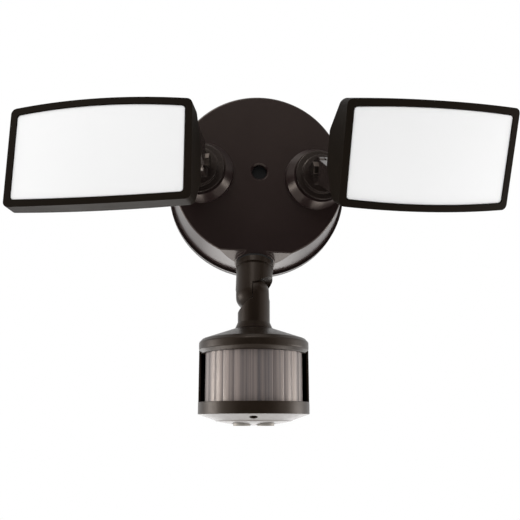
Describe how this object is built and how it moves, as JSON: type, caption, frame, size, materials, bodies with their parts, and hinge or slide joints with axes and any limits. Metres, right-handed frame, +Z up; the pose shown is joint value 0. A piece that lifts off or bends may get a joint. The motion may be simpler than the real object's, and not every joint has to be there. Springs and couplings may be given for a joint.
{
  "type": "motion sensor security light",
  "caption": "Wall-mounted security light: round canopy, rectangular lamp heads on swivel knuckles, and a motion sensor on an arm below.",
  "frame": {"origin": "centre of the canopy's back, in the plane of the wall, midway between the box screw slots", "axes": "+Y into the wall, +Z up, +X to the right as seen from the front, so the light faces -Y"},
  "size_m": [0.3081, 0.1322, 0.2328],
  "materials": {
    "bronze_paint": "satin",
    "bronze_plastic": "matte",
    "black_rubber": "matte",
    "grey_rubber": "matte",
    "zinc_steel": "satin",
    "black_steel": "satin",
    "white_diffuser": "frosted",
    "fresnel_lens": "translucent",
    "board": "satin",
    "green_board": "satin",
    "driver_plastic": "matte",
    "dial_plastic": "matte",
    "brass_nut": "satin",
    "green_screw": "satin",
    "photocell": "gloss"
  },
  "bodies": {
    "canopy": {"canopy": "bronze_paint", "wall_gasket": "grey_rubber", "crossbar": "zinc_steel", "ground_screw": "green_screw", "centre_screw": "brass_nut", "hole_plug": "black_rubber", "driver_case": "driver_plastic", "driver_screws": "zinc_steel"},
    "left_turret": {"left_turret": "bronze_paint", "left_turret_seal": "black_rubber", "left_turret_nut": "zinc_steel", "left_tilt_bolt": "black_steel", "left_tilt_nut": "black_steel"},
    "left_lamp": {"left_arm": "bronze_paint", "left_foot_screws": "zinc_steel", "left_housing": "bronze_paint", "left_bezel": "bronze_paint", "left_lens_gasket": "black_rubber", "left_diffuser": "white_diffuser", "left_led_board": "board"},
    "right_turret": {"right_turret": "bronze_paint", "right_turret_seal": "black_rubber", "right_turret_nut": "zinc_steel", "right_tilt_bolt": "black_steel", "right_tilt_nut": "black_steel"},
    "right_lamp": {"right_arm": "bronze_paint", "right_foot_screws": "zinc_steel", "right_housing": "bronze_paint", "right_bezel": "bronze_paint", "right_lens_gasket": "black_rubber", "right_diffuser": "white_diffuser", "right_led_board": "board"},
    "sensor_upper": {"sensor_upper_arm": "bronze_paint", "sensor_arm_seal": "black_rubber", "sensor_arm_nut": "zinc_steel", "sensor_tilt_bolt": "black_steel", "sensor_tilt_nut": "black_steel"},
    "sensor_lower": {"sensor_lower_arm": "bronze_paint", "neck_nut": "zinc_steel"},
    "sensor_head": {"sensor_housing": "bronze_plastic", "sensor_lens": "fresnel_lens", "sensor_base": "bronze_plastic", "photocell_window": "photocell", "sensor_screws": "black_steel", "control_board": "green_board", "element_board": "green_board", "infrared_element": "zinc_steel"},
    "time_dial": {"time_dial": "dial_plastic"},
    "range_dial": {"range_dial": "dial_plastic"}
  },
  "joints": [
    {"name": "left_swivel", "type": "hinge", "parent": "canopy", "child": "left_turret", "pos_m": [-0.04, -0.0394, 0], "axis": [-0.1736, -0.9848, 0], "range_deg": [-45, 30]},
    {"name": "left_tilt", "type": "hinge", "parent": "left_turret", "child": "left_lamp", "pos_m": [-0.04365, -0.06008, 0], "axis": [-0.9835, 0.1734, -0.0523], "range_deg": [-45, 45]},
    {"name": "right_swivel", "type": "hinge", "parent": "canopy", "child": "right_turret", "pos_m": [0.04, -0.0394, 0], "axis": [0.1736, -0.9848, 0], "range_deg": [-60, 40]},
    {"name": "right_tilt", "type": "hinge", "parent": "right_turret", "child": "right_lamp", "pos_m": [0.04365, -0.06008, 0], "axis": [0.9806, 0.1729, 0.0924], "range_deg": [-70, 28]},
    {"name": "sensor_swivel", "type": "hinge", "parent": "canopy", "child": "sensor_upper", "pos_m": [0, -0.028, -0.05765], "axis": [0, -0.342, -0.9397], "range_deg": [-60, 60]},
    {"name": "sensor_tilt", "type": "hinge", "parent": "sensor_upper", "child": "sensor_lower", "pos_m": [0, -0.03744, -0.08358], "axis": [0.9921, -0.1178, 0.0429], "range_deg": [-45, 30]},
    {"name": "sensor_turn", "type": "hinge", "parent": "sensor_lower", "child": "sensor_head", "pos_m": [0.00096, -0.0375, -0.10596], "axis": [-0.0429, 0.0025, 0.9991], "range_deg": [-90, 90]},
    {"name": "time_dial_turn", "type": "hinge", "parent": "sensor_head", "child": "time_dial", "pos_m": [-0.00451, -0.04723, -0.16573], "axis": [0.0429, -0.0025, -0.9991], "range_deg": [-135, 135]},
    {"name": "range_dial_turn", "type": "hinge", "parent": "sensor_head", "child": "range_dial", "pos_m": [0.01046, -0.04803, -0.16508], "axis": [0.0429, -0.0025, -0.9991], "range_deg": [-135, 135]}
  ]
}
